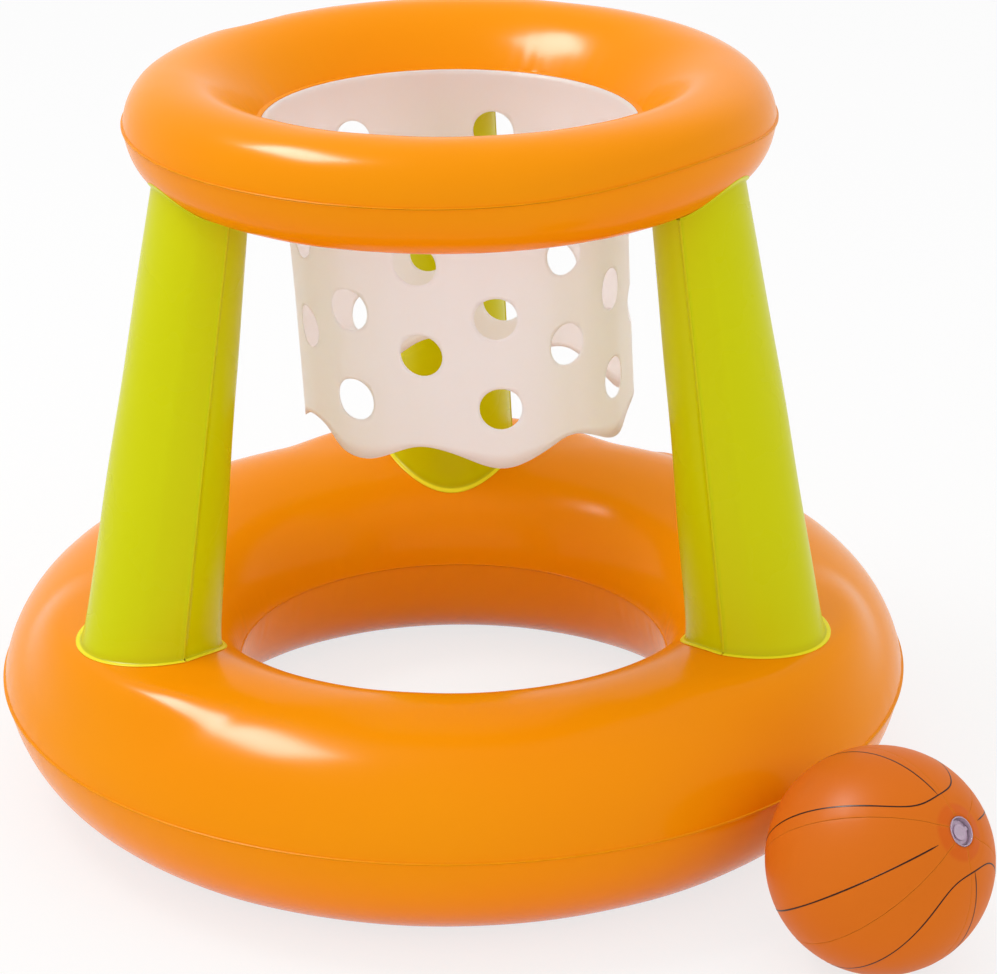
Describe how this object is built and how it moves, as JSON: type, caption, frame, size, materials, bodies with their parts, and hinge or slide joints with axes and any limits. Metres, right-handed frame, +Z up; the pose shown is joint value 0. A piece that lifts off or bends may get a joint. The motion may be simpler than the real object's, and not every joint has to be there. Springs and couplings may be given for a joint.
{
  "type": "floating basketball hoop",
  "caption": "Floating inflatable basketball hoop: welded vinyl base ring, tapered legs and rim ring with a punched net sleeve and push-in air valves, and a small inflatable ball beside it.",
  "frame": {"origin": "middle of the footprint of hoop and ball together, on the surface they stand on", "axes": "+Z up along the hoop's axis, -Y towards the viewer of the picture, +X to the viewer's right"},
  "size_m": [0.6932, 0.7331, 0.5325],
  "materials": {
    "orange_vinyl": "semi-gloss soft vinyl, orange",
    "lime_vinyl": "semi-gloss soft vinyl, lime green",
    "frosted_vinyl": "frosted translucent vinyl sheet",
    "ball_vinyl": "satin vinyl, brown-orange with printed black lines",
    "clear_vinyl": "clear soft vinyl moulding"
  },
  "bodies": {
    "hoop": {"base_ring_upper_skin": "orange_vinyl", "base_ring_lower_skin": "orange_vinyl", "rim_upper_skin": "orange_vinyl", "rim_lower_skin": "orange_vinyl", "leg_left_outer_panel": "lime_vinyl", "leg_left_inner_panel": "lime_vinyl", "leg_right_outer_panel": "lime_vinyl", "leg_right_inner_panel": "lime_vinyl", "leg_rear_outer_panel": "lime_vinyl", "leg_rear_inner_panel": "lime_vinyl", "net_sleeve": "frosted_vinyl", "base_valve_seat": "clear_vinyl", "rim_valve_seat": "clear_vinyl"},
    "ball": {"ball_panel_1": "ball_vinyl", "ball_panel_2": "ball_vinyl", "ball_panel_3": "ball_vinyl", "ball_panel_4": "ball_vinyl", "ball_panel_5": "ball_vinyl", "ball_panel_6": "ball_vinyl", "ball_end_patch": "ball_vinyl", "ball_valve_seat": "clear_vinyl"},
    "base_valve_stem": {"base_valve_stem": "clear_vinyl"},
    "base_valve_plug": {"base_valve_plug": "clear_vinyl"},
    "base_valve_flap": {"base_valve_flap": "clear_vinyl"},
    "rim_valve_stem": {"rim_valve_stem": "clear_vinyl"},
    "rim_valve_plug": {"rim_valve_plug": "clear_vinyl"},
    "rim_valve_flap": {"rim_valve_flap": "clear_vinyl"},
    "ball_valve_stem": {"ball_valve_stem": "clear_vinyl"},
    "ball_valve_plug": {"ball_valve_plug": "clear_vinyl"},
    "ball_valve_flap": {"ball_valve_flap": "clear_vinyl"}
  },
  "joints": [
    {"name": "ball_lift", "type": "slide", "parent": "hoop", "child": "ball", "axis": [0, 0, 1], "range_m": [0, 0.6]},
    {"name": "base_valve_push", "type": "slide", "parent": "hoop", "child": "base_valve_stem", "axis": [0.4606, 0.6153, 0.6398], "range_m": [0, 0.008]},
    {"name": "base_valve_plug_strap", "type": "hinge", "parent": "base_valve_stem", "child": "base_valve_plug", "pos_m": [0.16388, 0.27885, 0.13259], "axis": [-0.3834, -0.5122, 0.7686], "range_deg": [0, 100]},
    {"name": "base_valve_flap_hinge", "type": "hinge", "parent": "base_valve_stem", "child": "base_valve_flap", "pos_m": [0.16035, 0.26929, 0.12446], "axis": [-0.3834, -0.5122, 0.7686], "range_deg": [-60, 0], "stiffness_Nm_per_rad": 0.00003, "springref_deg": 17.19},
    {"name": "rim_valve_push", "type": "slide", "parent": "hoop", "child": "rim_valve_stem", "axis": [-0.3036, 0.3037, 0.9031], "range_m": [0, 0.008]},
    {"name": "rim_valve_plug_strap", "type": "hinge", "parent": "rim_valve_stem", "child": "rim_valve_plug", "pos_m": [-0.16488, 0.17433, 0.52252], "axis": [0.6386, -0.6386, 0.4294], "range_deg": [0, 100]},
    {"name": "rim_valve_flap_hinge", "type": "hinge", "parent": "rim_valve_stem", "child": "rim_valve_flap", "pos_m": [-0.15898, 0.17253, 0.51105], "axis": [0.6386, -0.6386, 0.4294], "range_deg": [-60, 0], "stiffness_Nm_per_rad": 0.00003, "springref_deg": 17.19},
    {"name": "ball_valve_push", "type": "slide", "parent": "ball", "child": "ball_valve_stem", "axis": [0.6124, -0.5514, 0.5664], "range_m": [0, 0.008]},
    {"name": "ball_valve_plug_strap", "type": "hinge", "parent": "ball_valve_stem", "child": "ball_valve_plug", "pos_m": [0.32073, -0.32567, 0.11858], "axis": [-0.4209, 0.379, 0.8241], "range_deg": [0, 100]},
    {"name": "ball_valve_flap_hinge", "type": "hinge", "parent": "ball_valve_stem", "child": "ball_valve_flap", "pos_m": [0.31101, -0.32082, 0.11139], "axis": [-0.4209, 0.379, 0.8241], "range_deg": [-60, 0], "stiffness_Nm_per_rad": 0.00003, "springref_deg": 17.19}
  ]
}
